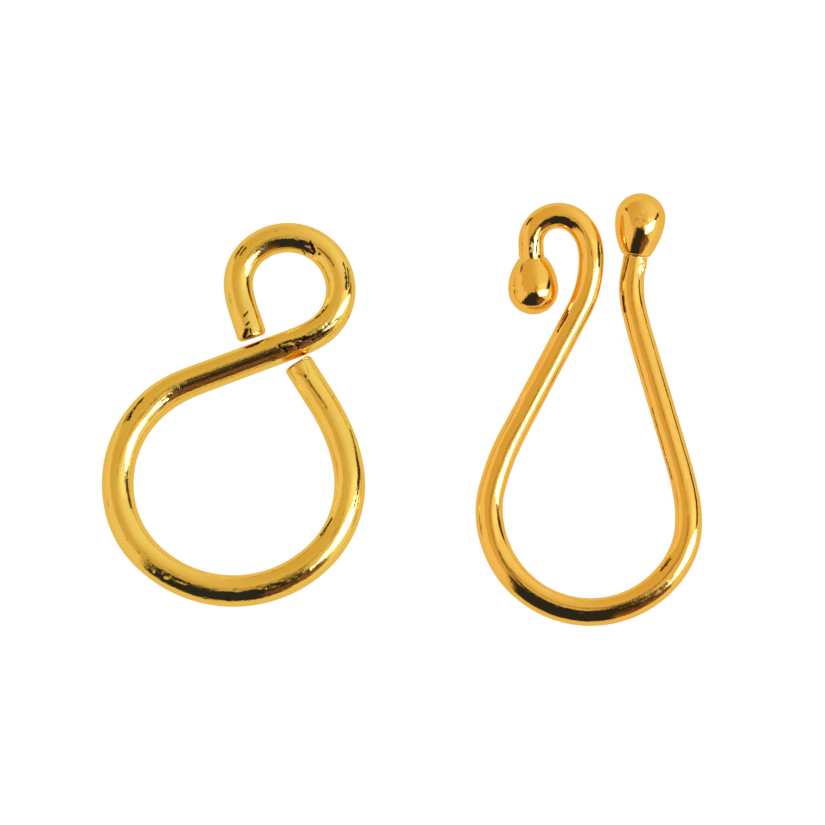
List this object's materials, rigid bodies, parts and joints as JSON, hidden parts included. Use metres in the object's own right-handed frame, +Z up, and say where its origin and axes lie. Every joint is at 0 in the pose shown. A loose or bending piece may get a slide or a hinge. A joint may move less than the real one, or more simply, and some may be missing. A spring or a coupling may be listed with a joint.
{
  "type": "figure eight hook and eye clasp",
  "caption": "Gold hook-and-eye jewellery clasp: a wire eye bent into a figure eight, and a teardrop wire hook whose ends carry balls, lying side by side.",
  "frame": {"origin": "centre of the bottom of the box round both halves, on the surface that they lie on", "axes": "+X from the eye to the hook, +Y along the clasp towards the small loop and the balls, +Z up from the surface"},
  "size_m": [0.0312, 0.0225, 0.0028],
  "materials": {
    "eye_gold": "polished gold plate on brass wire, with tool marks",
    "hook_gold": "polished gold plate on brass wire and balls"
  },
  "bodies": {
    "root": {"figure_eight_eye": "eye_gold", "ball_end_hook": "hook_gold"}
  },
  "joints": []
}
